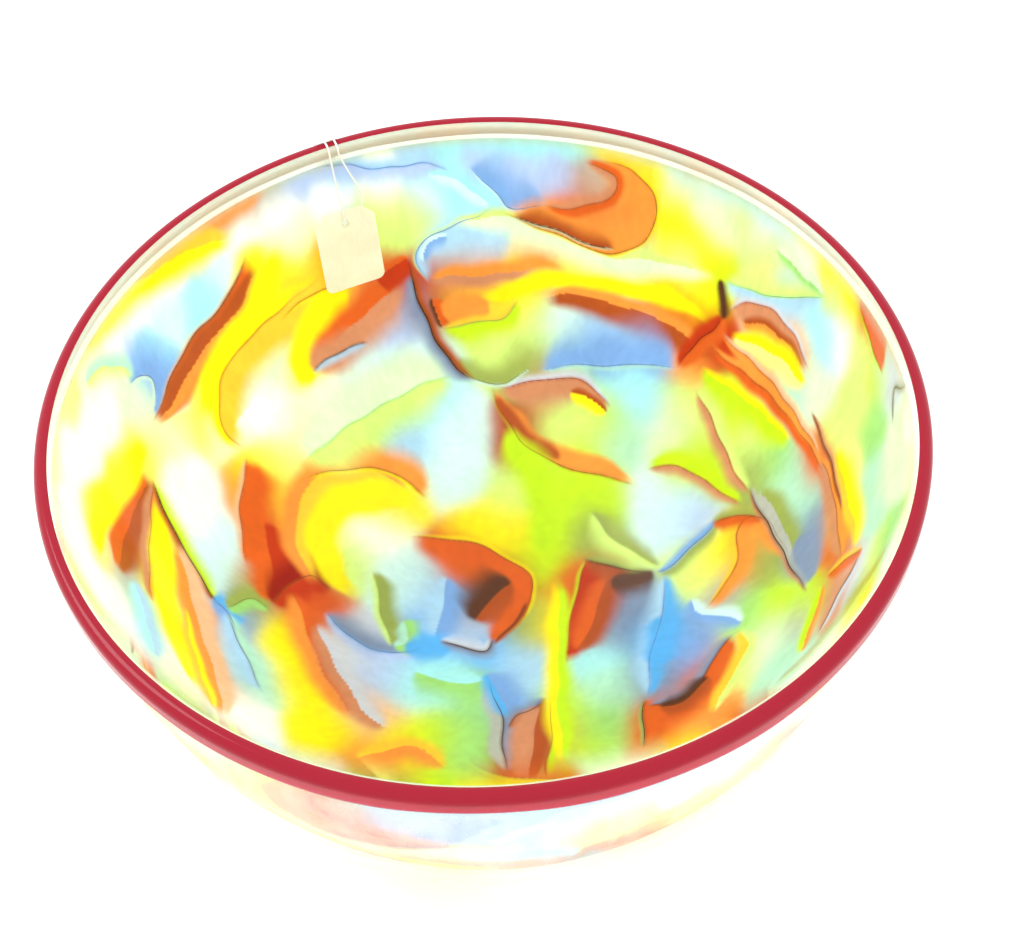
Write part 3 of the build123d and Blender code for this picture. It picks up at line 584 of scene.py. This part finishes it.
def opal_glass():
    """Milky casing: white glass that lets the shards' colours through as pastels."""
    p = Paint("opal_glass")
    clouds = p.noise(26.0, 3.0, stretch=(1, 1, 0.6), distort=0.4)
    threads = p.noise(120.0, 3.0, stretch=(1, 1, 0.3))
    bump = p.bump(p.noise(30.0, 2.0), 0.1, 0.001)
    tone = p.ramp(clouds, (0.3, (250, 246, 238)), (0.5, (252, 252, 248)), (0.7, (240, 247, 252)))
    body = p.add("BsdfPrincipled", inputs={"Base Color": tone, "Roughness": 0.16, "Coat Weight": 0.5,
                                           "Coat Roughness": 0.03, "Normal": bump})
    milk = p.blend(0.35, body, p.add("BsdfTranslucent", inputs={"Color": tone}))
    share = p.math("ADD", p.spread(clouds, 0.3, 0.7, 0.26, 0.42),
                   p.spread(threads, 0.35, 0.65, -0.06, 0.06))
    return p.done(p.blend(share, p.add("BsdfTransparent", inputs={"Color": (1, 1, 1, 1)}), milk))


def ruby_glass():
    """Lip wrap: glossy crimson, with painted light making it paler pink towards its lower edge, lit from the
    white floor; there the thread of glass also runs thin and lets a little of what is behind show through.
    """
    p = Paint("ruby_glass")
    ragged = p.math("ADD", p.height(), p.spread(p.noise(60.0, 3.0), 0.0, 1.0, -2.5 * MM, 2.5 * MM))
    thickness_and_painted_light = p.spread(ragged, WRAP_Z - 1 * MM, WRAP_Z + 6 * MM, 0.0, 1.0)
    # painted light: the ramp turns paler pink towards the lower edge, where the white floor lights the wrap
    tone = p.ramp(thickness_and_painted_light, (0.0, (206, 78, 104)), (0.35, (192, 28, 60)),
                  (0.75, (178, 8, 40)), (1.0, (152, 8, 36)))
    bump = p.bump(p.noise(45.0, 2.0), 0.12, 0.0008)
    body = p.add("BsdfPrincipled", inputs={"Base Color": tone, "Roughness": 0.16, "Normal": bump,
                                           "Specular IOR Level": 0.15, "Coat Weight": 0.25,
                                           "Coat Roughness": 0.03})
    through = p.add("BsdfTransparent", inputs={"Color": tone})
    return p.done(p.blend(p.spread(thickness_and_painted_light, 0.0, 1.0, 0.7, 0.88), through, body))


def seam_glass():
    """Dark lines where two shards lap."""
    p = Paint("seam_glass")
    tint = p.add("VertexColor", layer_name="Tint")
    worn = p.spread(p.noise(300.0, 2.0), 0.3, 0.7, 0.75, 1.15)
    colour = p.mix("MULTIPLY", 1.0, tint, worn)
    body = p.add("BsdfPrincipled", inputs={"Base Color": colour, "Roughness": 0.3})
    return p.done(p.blend(0.4, body, p.add("BsdfTranslucent", inputs={"Color": colour})))


def tag_paper():
    """Cream card: fibres and faint mottling."""
    p = Paint("tag_paper")
    fibres = p.noise(900.0, 4.0, stretch=(1, 1, 0.35), rough=0.7)
    mottle = p.noise(70.0, 2.0)
    tone = p.ramp(p.math("ADD", p.math("MULTIPLY", fibres, 0.35), p.math("MULTIPLY", mottle, 0.65)),
                  (0.35, (232, 226, 200)), (0.55, (240, 235, 212)), (0.7, (246, 242, 224)))
    bump = p.bump(fibres, 0.35, 0.0001)
    return p.done(p.add("BsdfPrincipled", inputs={"Base Color": tone, "Roughness": 0.85, "Normal": bump,
                                                  "Sheen Weight": 0.15, "Sheen Roughness": 0.5}))


def tag_thread():
    """White twisted string, its grooves painted a little darker as shade."""
    p = Paint("tag_thread")
    place = p.add("Mapping", inputs={"Vector": p.place(), "Rotation": (0.6, 0.4, 0)})
    twist = p.add("TexWave", inputs={"Vector": place, "Scale": 700.0, "Distortion": 2.0, "Detail": 2.0})
    # painted shade: where the twist's bump is low, in its grooves, the string is coloured a little darker
    tone = p.ramp(twist, (0.0, (225, 225, 222)), (1.0, (252, 252, 250)))
    return p.done(p.add("BsdfPrincipled", inputs={"Base Color": tone, "Roughness": 0.8,
                                                  "Normal": p.bump(twist, 0.6, 0.0001)}))


def tag_film():
    """Clear tape, a little cloudy, with creases."""
    p = Paint("tag_film")
    crease = p.noise(160.0, 3.0, stretch=(1, 1, 0.4))
    bump = p.bump(crease, 0.4, 0.0002)
    body = p.add("BsdfPrincipled", inputs={"Base Color": (0.86, 0.87, 0.85, 1), "Roughness": 0.2,
                                           "Normal": bump})
    share = p.spread(crease, 0.3, 0.7, 0.16, 0.4)
    return p.done(p.blend(share, p.add("BsdfTransparent", inputs={"Color": (0.97, 0.98, 0.98, 1)}), body))


def floor_paint():
    """Plain white floor of the studio."""
    p = Paint("studio_floor")
    tone = p.ramp(p.noise(3.0, 2.0), (0.3, (250, 250, 250)), (0.7, (252, 252, 252)))
    return p.done(p.add("BsdfPrincipled", inputs={"Base Color": tone, "Roughness": 0.9}))


# ---------------------------------------------------------------- painting the shards
def smooth_line(points, steps=10):
    """A rounded line through given points (Catmull-Rom)."""
    points = np.array(points, float)
    padded = np.vstack([2 * points[0] - points[1], points, 2 * points[-1] - points[-2]])
    line = []
    for a, b, c, d in zip(padded, padded[1:], padded[2:], padded[3:]):
        for t in np.arange(steps) / steps:
            line.append(0.5 * (2 * b + (c - a) * t + (2 * a - 5 * b + 4 * c - d) * t**2
                               + (3 * b - a - 3 * c + d) * t**3))
    return np.array(line + [points[-1]])


def to_line(places, line):
    """For each place: distance to the line, its side (1 left, -1 right), and how far along it is, 0 to 1."""
    start, run = line[:-1], np.diff(line, axis=0)
    length = np.hypot(*run.T)
    before = np.concatenate([[0], np.cumsum(length)[:-1]]) / length.sum()
    away = places[:, None, :] - start[None]
    along = np.clip((away * run).sum(-1) / length**2, 0, 1)
    gap = away - along[..., None] * run
    distance = np.hypot(gap[..., 0], gap[..., 1])
    nearest = distance.argmin(1)
    pick = np.arange(len(places))
    cross = run[nearest, 0] * away[pick, nearest, 1] - run[nearest, 1] * away[pick, nearest, 0]
    share = before[nearest] + along[pick, nearest] * length[nearest] / length.sum()
    return distance[pick, nearest], np.where(cross >= 0, 1, -1), share


def ground_colours(places):
    """Colours between the listed patches, each place taking mostly after its nearest ones."""
    spots = np.array([spot for spots in PATCHES.values() for spot in spots], float)
    paints = np.array([PAINT[name] for name, spots in PATCHES.items() for _ in spots])
    colours = np.empty((len(places), 3))
    for first in range(0, len(places), PLACES_AT_ONCE):
        part = places[first:first + PLACES_AT_ONCE]
        square = ((part[:, None] - spots[None]) ** 2).sum(-1)
        weight = np.exp(-square / (2 * PATCH_BLUR**2)) + 1e-4 / (square + 1) ** 2
        colours[first:first + PLACES_AT_ONCE] = weight @ paints / weight.sum(1, keepdims=True)
    return colours


def taper(share, length):
    """0 at both ends of a line and 1 away from them, rising over a share of its length."""
    return smooth_step(share / length) * smooth_step((1 - share) / length)


def paint_streak(places, colours, streak):
    """Paints one streak, its two sides and the shade of its seam over the colours."""
    line = smooth_line(streak[0])
    widest = max(side[0] + side[1] for side in streak[1:3]) + 1
    near = np.all((places > line.min(0) - widest) & (places < line.max(0) + widest), axis=1).nonzero()[0]
    distance, side, share = to_line(places[near], line)
    ends = taper(share, END_SHARE)
    swell = SWELL_LOW + (1 - SWELL_LOW) * taper(share, SWELL_SHARE)
    for sign, (reach, softness, paint) in ((1, streak[1]), (-1, streak[2])):
        cover = 1 - smooth_step((distance - reach * swell) / (softness * SOFTEN * swell + 0.15))
        cover = (cover * ends * (side == sign))[:, None]
        colours[near] = colours[near] * (1 - cover) + PAINT[paint] * cover
    if streak[3]:
        width, paint = streak[3]
        cover = (SEAM_SHADE * ends * (1 - smooth_step((distance - width / 8) / (0.3 + width / 3))))[:, None]
        colours[near] = colours[near] * (1 - cover) + PAINT[paint] * cover


def wobble_at(places):
    """Small sway of the painted lines, in degrees."""
    x, y = places.T
    return np.stack([np.sin(0.31 * y + 1.3) + 0.6 * np.sin(0.83 * y - 0.4 * x),
                     np.sin(0.27 * x + 0.7) + 0.6 * np.sin(0.71 * x + 0.5 * y + 2)], -1) * 0.3


def wall_colours(places):
    """Linear colour of the colour layer at each flattened place, with a painted glow blended in near the
    rim.
    """
    x, y = places.T
    wobble = wobble_at(places)
    hidden = smooth_step((HIDDEN_FROM - y) / (HIDDEN_FROM - HIDDEN_TO))[:, None]
    colours = np.zeros((len(places), 3))
    for sign, share in ((1, 1 - hidden), (-1, hidden)):
        layer = ground_colours(places * sign + wobble)
        for streak in STREAKS:
            paint_streak(places * sign + wobble, layer, streak)
        colours += layer * share
    # painted light: near the rim the colour is blended towards a warm pale tone that stands for the glow of
    # light through the rolled lip
    rim = smooth_step((np.hypot(x, y) - RIM_BAND) / RIM_FADE)[:, None] * RIM_SHARE
    return colours * (1 - rim) + linear(PAINTED_RIM_GLOW) * rim


def shard_owners(places):
    """Name of the CAD shard seen from the focus at each place."""
    points, polygons, owners = [], [], []
    for name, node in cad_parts.items():
        if not name.startswith("shard_"):
            continue
        first = len(points)
        points += [tuple(vertex.co) for vertex in node.data.vertices]
        for polygon in node.data.polygons:
            polygons.append([first + i for i in polygon.vertices])
            owners.append(name)
    tree = BVHTree.FromPolygons(points, polygons)
    names = []
    for x, y in places:
        away = radians(sqrt(x * x + y * y))
        across = sin(away) / sqrt(x * x + y * y)
        hit = tree.ray_cast(FOCUS, Vector((x * across, y * across, -cos(away))))[2]
        names.append(owners[hit] if hit is not None else None)
    return names


def make_shards(*materials):
    """One closed, painted piece for each CAD shard, cut from a fine grid on the colour layer."""
    inside = wall_profile(CASING + COLOUR - SKIN, FLOOR_COLOUR - SKIN, WRAP_Z)
    outside = wall_profile(CASING + SKIN, FLOOR_CASING + SKIN, WRAP_Z)
    rise = np.linspace(FIRST_RING, fall_angle(inside)[-1] - LAST_GAP, FINE_RISE + 1)
    turn = np.radians(np.arange(FINE_TURN) * 360 / FINE_TURN)
    places = np.stack([np.outer(rise, np.cos(turn)), np.outer(rise, np.sin(turn))], -1)
    colours = wall_colours(places.reshape(-1, 2)).reshape(FINE_RISE + 1, FINE_TURN, 3)
    in_points = on_layer(inside, places[..., 0], places[..., 1])
    out_points = on_layer(outside, places[..., 0], places[..., 1])

    rows, columns = FINE_RISE // COARSE, FINE_TURN // COARSE
    centres = []
    for i in range(rows):
        for j in range(columns):
            away = (rise[i * COARSE] + rise[(i + 1) * COARSE]) / 2
            angle = 2 * pi * (j + 0.5) / columns
            centres.append((away * cos(angle), away * sin(angle)))
    owners = shard_owners(centres)
    known = [k for k, name in enumerate(owners) if name]
    spots = np.array(centres)[known]
    for k, name in enumerate(owners):
        if name is None:  # a cell in a gap between shards goes to the nearest one
            owners[k] = owners[known[int(((spots - centres[k]) ** 2).sum(1).argmin())]]
    owner = np.array(owners).reshape(rows, columns)
    for name in sorted(set(owners)):
        shard_piece(name, owner == name, in_points, out_points, colours, materials)


def shard_piece(name, cells, in_points, out_points, colours, materials):
    """Closed mesh over the grid cells of one shard: fine inside, coarse outside, square at its edges."""
    shift = (FINE_RISE + 1) * FINE_TURN
    columns = cells.shape[1]

    def inner(i, j):
        return i * FINE_TURN + j % FINE_TURN

    def outer(i, j):
        return shift + inner(i, j)

    skin, back, cuts = [], [], []
    for row, column in zip(*cells.nonzero()):
        i, j = int(row) * COARSE, int(column) * COARSE
        for a in range(i, i + COARSE):
            for b in range(j, j + COARSE):
                skin.append((inner(a, b), inner(a + 1, b), inner(a + 1, b + 1), inner(a, b + 1)))
        i2, j2 = i + COARSE, j + COARSE
        back.append((outer(i, j), outer(i, j2), outer(i2, j2), outer(i2, j)))
        if not cells[row, column - 1]:
            cuts.append([inner(a, j) for a in range(i2, i - 1, -1)] + [outer(i, j), outer(i2, j)])
        if not cells[row, (column + 1) % columns]:
            cuts.append([inner(a, j2) for a in range(i, i2 + 1)] + [outer(i2, j2), outer(i, j2)])
        if row == 0 and not cells[0].all() or row > 0 and not cells[row - 1, column]:
            cuts.append([inner(i, b) for b in range(j, j2 + 1)] + [outer(i, j2), outer(i, j)])
        if row == len(cells) - 1 or not cells[row + 1, column]:
            cuts.append([inner(i2, b) for b in range(j2, j - 1, -1)] + [outer(i2, j), outer(i2, j2)])
    if cells[0].all():
        skin.append([inner(0, b) for b in range(FINE_TURN)])
        back.append([outer(0, b) for b in range(0, FINE_TURN, COARSE)][::-1])

    faces = skin + back + cuts
    used = sorted({corner for face in faces for corner in face})
    number = {old: new for new, old in enumerate(used)}
    faces = [[number[corner] for corner in face] for face in faces]
    points = np.concatenate([in_points.reshape(-1, 3), out_points.reshape(-1, 3)])[used]
    tints = np.concatenate([colours.reshape(-1, 3)] * 2)[used]
    piece = mesh_object(name + "_streaks", points.tolist(), faces, materials[0])
    piece.data.materials.append(materials[1])
    piece.data.polygons.foreach_set("use_smooth", [True] * len(skin + back) + [False] * len(cuts))
    piece.data.polygons.foreach_set("material_index", [0] * len(skin) + [1] * len(back + cuts))
    if cuts:  # hard edges round the cut faces, so that they don't bend the shading of the skin
        edges = np.empty(len(piece.data.loops), int)
        piece.data.loops.foreach_get("edge_index", edges)
        sharp = np.zeros(len(piece.data.edges), bool)
        sharp[edges[piece.data.polygons[len(skin + back)].loop_start:]] = True
        piece.data.edges.foreach_set("use_edge_sharp", sharp)
    paint_points(piece, tints)
    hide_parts(name)
    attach(piece, "bowl")


def paint_points(piece, tints):
    """Gives each point of a piece its linear colour."""
    layer = piece.data.color_attributes.new("Tint", "FLOAT_COLOR", "POINT")
    layer.data.foreach_set("color", np.hstack([tints, np.ones((len(tints), 1))]).ravel())


def make_seams(material):
    """Thin tapered dark lines, just inside the colour layer, where two shards lap."""
    layer = wall_profile(CASING + COLOUR, FLOOR_COLOUR, WRAP_Z)
    points, faces, tints = [], [], []
    for spine, _, _, seam in STREAKS:
        if not seam:
            continue
        width, paint = seam
        line = smooth_line(spine, 14)
        line -= wobble_at(line)
        copies = [line] if line[:, 1].max() > HIDDEN_FROM else []
        if line[:, 1].min() > -HIDDEN_TO:
            copies.append(-line)
        for line in copies:
            middle = on_layer(layer, *line.T)
            ahead = np.gradient(middle, axis=0)
            out = middle - np.array(FOCUS)
            across = np.cross(ahead, out)
            across /= np.linalg.norm(across, axis=1, keepdims=True)
            out /= np.linalg.norm(out, axis=1, keepdims=True)
            share = np.linspace(0, 1, len(line))
            half = width * MM * SEAM_SHARE * taper(share, SEAM_SHARE)
            half = (half + 0.02 * MM)[:, None]
            first = len(points)
            for ring in zip(middle - across * half, middle - out * SKIN / 3, middle + across * half,
                            middle + out * SKIN / 3):
                points += [tuple(point) for point in ring]
            count = len(line)
            for i in range(count - 1):
                a = first + 4 * i
                for k in range(4):
                    faces.append((a + k, a + (k + 1) % 4, a + 4 + (k + 1) % 4, a + 4 + k))
            faces.append([first + k for k in (3, 2, 1, 0)])
            faces.append([first + 4 * (count - 1) + k for k in range(4)])
            tints += [PAINT[paint]] * (4 * count)
    piece = mesh_object("shard_seams", points, faces, material)
    paint_points(piece, np.array(tints))
    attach(piece, "bowl")


def make_layers():
    """Clear lining, milky casing and ruby wrap, each a closed turned body."""
    end = wrap_end()
    inner = wall_profile(CASING + COLOUR + LINING, FLOOR_LINING)
    back = wall_profile(CASING + COLOUR + SKIN, FLOOR_COLOUR + SKIN, WRAP_Z)[::-1]
    foot = (RIM_RADIUS - WRAP_THICKNESS - SKIN, WRAP_Z)
    lining = np.array([*inner, *lip_arc(180, end, 24)[1:], foot, *back])
    clear = turned("clear_lining_glass", lambda turn: lining, clear_glass())
    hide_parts("clear_lining")

    outside = wall_profile(0, 0, WRAP_Z - SKIN)
    inside = wall_profile(CASING - SKIN, FLOOR_CASING - SKIN, WRAP_Z - SKIN)[::-1]
    shell = np.array([*outside[:-1], outside[-1] - (CASING_EASE, 0), *inside])
    casing = turned("opal_casing_glass", lambda turn: shell, opal_glass())
    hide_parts("opal_casing")

    wrap = turned("ruby_wrap_glass", wrap_section, ruby_glass())
    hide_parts("ruby_lip_wrap")
    for piece in (clear, casing, wrap):
        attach(piece, "bowl")


def wrap_section(turn):
    """The ruby's section at one angle: its lower edge wanders a little."""
    low = WRAP_Z + (0.5 + 0.5 * wave(turn, WANDER_SEED)) * WRAP_WANDER
    cone = np.array([(RIM_RADIUS - WRAP_THICKNESS, WRAP_Z), lip_arc(wrap_end(), 0, 2)[0]])
    inner_low = cone[0] + (cone[1] - cone[0]) * (low - WRAP_Z) / (cone[1][1] - WRAP_Z)
    side = [(BULGE_CENTRE[0] + sqrt(BULGE**2 - (z - LIP_Z) ** 2), z) for z in np.linspace(low, LIP_Z, 8)]
    rounded = [(side[0][0] - 0.5 * MM, low), (side[0][0] - 0.12 * MM, low + 0.16 * MM)]
    arc = lip_arc(0, wrap_end(), 28)[1:]
    return np.array([inner_low, *rounded, *side[1:], *arc])


# ---------------------------------------------------------------- tag, string and tape
def at_lip(radius, height, along=0.0):
    """A point by radius from the axis, height, and distance along the lip from the tag's middle."""
    out = Vector((cos(TAG_AZIMUTH), sin(TAG_AZIMUTH), 0))
    side = Vector((sin(TAG_AZIMUTH), -cos(TAG_AZIMUTH), 0))
    return out * radius + side * along + Vector((0, 0, height))


def at_tag(x, y, z):
    """A point by distance from the card's hole: along the lip, up the card, and into the bowl."""
    hole = at_lip(PIVOT[0] - DROP * sin(TAG_LEAN), PIVOT[1] - DROP * cos(TAG_LEAN))
    up = (at_lip(*PIVOT) - hole).normalized()
    side = (at_lip(0, 0, 1) - at_lip(0, 0, 0)).normalized()
    inward = side.cross(up)
    return hole + side * x + up * y + inward * (z - TAG_THICKNESS / 2)


def make_card():
    """Card with clipped top corners, rounded lower ones and a hole, curled a little."""
    half, top, low = TAG_WIDTH / 2, TAG_HOLE_DROP, TAG_HOLE_DROP - TAG_LENGTH
    corners = [(half, top - TAG_CLIP), (half - TAG_CLIP, top),
               (TAG_CLIP - half, top), (-half, top - TAG_CLIP)]
    for side, first in ((-1, 180), (1, 270)):
        for angle in np.radians(np.linspace(first, first + 90, 7)):
            corners.append((side * (half - TAG_ROUND) + TAG_ROUND * cos(angle),
                            low + TAG_ROUND + TAG_ROUND * sin(angle)))
    outline = []
    for a, b in zip(corners, corners[1:] + corners[:1]):
        steps = max(1, round(np.hypot(b[0] - a[0], b[1] - a[1]) / (2 * MM)))
        outline += [np.array(a) + (np.array(b) - a) * k / steps for k in range(steps)]
    outline = np.array(outline)
    rim = outline / np.hypot(*outline.T)[:, None] * TAG_HOLE / 2
    count, rings = len(outline), 9
    points, faces = [], []
    for face in (0.15, 0.65):
        for share in np.linspace(0, 1, rings):
            for x, y in rim + (outline - rim) * share:
                curl = 0.1 * MM * (x / half) ** 2 + 0.15 * MM * sin(y / low * 2)
                points.append(at_tag(x, y, TAG_THICKNESS * face + curl - 0.1 * MM))
    block = count * rings
    for k in range(rings - 1):
        for i in range(count):
            a, b = k * count + i, k * count + (i + 1) % count
            faces.append((a, b, b + count, a + count))
            faces.append((block + a, block + a + count, block + b + count, block + b))
    for i in range(count):
        a, b = i, (i + 1) % count
        faces.append((a, block + a, block + b, b))
        a, b = a + block - count, b + block - count
        faces.append((b, block + b, block + a, a))
    card = mesh_object("tag_card_paper", points, faces, tag_paper(), smooth=False)
    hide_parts("tag_card")
    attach(card, "tag")
    return card


def string_route():
    """The string's control points: one loop from outside the lip, through the card's hole and back."""
    first, second = STRAND_ALONG
    card = [(-0.3, 2.4, 1.65), (0.0, 0.0, 1.7), (0.0, 0.0, -0.9), (2.1, 1.2, -0.9), (11.0, 6.0, -1.0)]
    return ([at_lip(r, z, first) for r, z in STRING_OVER]
            + [at_tag(x * MM, y * MM, z * MM) for x, y, z in card]
            + [at_lip(r, z, second) for r, z in reversed(STRING_OVER)])


def nurbs_points(route):
    """Points along the smooth curve that follows the control points."""
    curve = bpy.data.curves.new("string_route", "CURVE")
    curve.dimensions = "3D"
    spline = curve.splines.new("NURBS")
    spline.points.add(len(route) - 1)
    for point, place in zip(spline.points, route):
        point.co = (*place, 1)
    spline.order_u = 3
    spline.use_endpoint_u = True
    spline.resolution_u = 16
    holder = bpy.data.objects.new("string_route", curve)
    mesh = bpy.data.meshes.new_from_object(holder)
    points = [vertex.co.copy() for vertex in mesh.vertices]
    bpy.data.objects.remove(holder)
    bpy.data.meshes.remove(mesh)
    return points


def tube_along(name, line, radius, material, sides=10):
    """Round tube closed at both ends, its rings carried along the line without twisting."""
    points, faces = [], []
    side = Vector((0.3, 0.5, 1))
    for i, place in enumerate(line):
        ahead = (line[min(i + 1, len(line) - 1)] - line[max(i - 1, 0)]).normalized()
        side = (side - ahead * side.dot(ahead)).normalized()
        other = ahead.cross(side)
        swell = radius * (0.94 + 0.06 * cos(0.9 * i))
        for k in range(sides):
            angle = 2 * pi * k / sides
            points.append(place + (side * cos(angle) + other * sin(angle)) * swell)
    for i in range(len(line) - 1):
        for k in range(sides):
            a, b = i * sides + k, i * sides + (k + 1) % sides
            faces.append((a, b, b + sides, a + sides))
    faces.append(list(range(sides))[::-1])
    faces.append([(len(line) - 1) * sides + k for k in range(sides)])
    return mesh_object(name, points, faces, material)


def make_string(card, tape):
    """The string, from its start under the tape, through the card and back under the tape."""
    line = nurbs_points(string_route())
    length = sum((b - a).length for a, b in zip(line, line[1:]))
    print(f"string length {length:.4f} m")
    string = tube_along("tag_string_thread", line, STRING / 2, tag_thread())
    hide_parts("tag_string_hanging", "tag_string_over_lip")
    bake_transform(string)


def make_tape():
    """Short strip of clear tape over the string, from the crest down the outside."""
    middle = RIM_RADIUS - LIP_RADIUS
    radius = LIP_RADIUS + TAPE_LIFT
    path = [(middle + radius * cos(radians(a)), LIP_Z + radius * sin(radians(a)), radians(a))
            for a in np.linspace(88, 0, 16)]
    path += [(middle + radius, z, 0.0) for z in np.linspace(LIP_Z, TAPE_END_Z + 0.2 * MM, 10)[1:]]
    across = np.linspace(-0.49, 0.49, 13) * TAPE_WIDTH
    points, faces = [], []
    for skin in (0.04 * MM, TAPE - 0.04 * MM):
        for r, z, angle in path:
            for side in across:
                crease = 0.04 * MM * sin(side / MM * 1.7) * sin(z / MM)
                lift = skin * 0.6 + 0.05 * MM + crease * 0.5
                points.append(at_lip(r + lift * cos(angle), z + lift * sin(angle), side))
    rows, columns = len(path), len(across)
    block = rows * columns
    for i in range(rows - 1):
        for j in range(columns - 1):
            a = i * columns + j
            faces.append((a, a + 1, a + columns + 1, a + columns))
            faces.append((block + a, block + a + columns, block + a + columns + 1, block + a + 1))
    edge = [j for j in range(columns)] + [i * columns + columns - 1 for i in range(1, rows)]
    edge += [(rows - 1) * columns + j for j in range(columns - 2, -1, -1)]
    edge += [i * columns for i in range(rows - 2, 0, -1)]
    for a, b in zip(edge, edge[1:] + edge[:1]):
        faces.append((b, a, block + a, block + b))
    tape = mesh_object("tag_tape_film", points, faces, tag_film())
    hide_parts("tag_tape")
    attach(tape, "bowl")
    return tape


# ---------------------------------------------------------------- studio
def area_light(name, place, size, power, aim=(0, 0, 0.08)):
    """Square light that faces the middle of the bowl."""
    data = bpy.data.lights.new(name, "AREA")
    data.size = size
    data.energy = power
    light = bpy.data.objects.new(name, data)
    light.location = place
    light.rotation_euler = (Vector(aim) - Vector(place)).to_track_quat("-Z", "Y").to_euler()
    bpy.context.scene.collection.objects.link(light)
    return light


def make_studio():
    """White world and floor, two soft lights, and the camera of the first view."""
    scene = bpy.context.scene
    world = bpy.data.worlds.new("studio")
    scene.world = world
    world.use_nodes = True
    background = world.node_tree.nodes["Background"]
    background.inputs["Color"].default_value = (1, 1, 1, 1)
    background.inputs["Strength"].default_value = WORLD_LIGHT
    corners = [(x * FLOOR_HALF, y * FLOOR_HALF, 0) for x, y in ((-1, -1), (1, -1), (1, 1), (-1, 1))]
    floor = mesh_object("studio_floor", corners, [(0, 1, 2, 3)], floor_paint(), smooth=False)
    area_light("key", *KEY_LIGHT)
    area_light("fill", *FILL_LIGHT).visible_glossy = False

    data = bpy.data.cameras.new("camera")
    data.lens = LENS
    data.sensor_width = 36
    camera = bpy.data.objects.new("camera", data)
    look = (TARGET - EYE).to_track_quat("-Z", "Y").to_matrix().to_4x4()
    camera.matrix_world = Matrix.Translation(EYE) @ look @ Matrix.Rotation(-ROLL, 4, "Z")
    scene.collection.objects.link(camera)
    scene.camera = camera
    scene.view_settings.view_transform = "Standard"
    scene.cycles.transparent_max_bounces = SEE_THROUGH_BOUNCES
    scene.cycles.diffuse_bounces = DIFFUSE_BOUNCES


make_studio()
make_string(make_card(), make_tape())
make_layers()
make_shards(streaky_glass(), bond_glass())
make_seams(seam_glass())
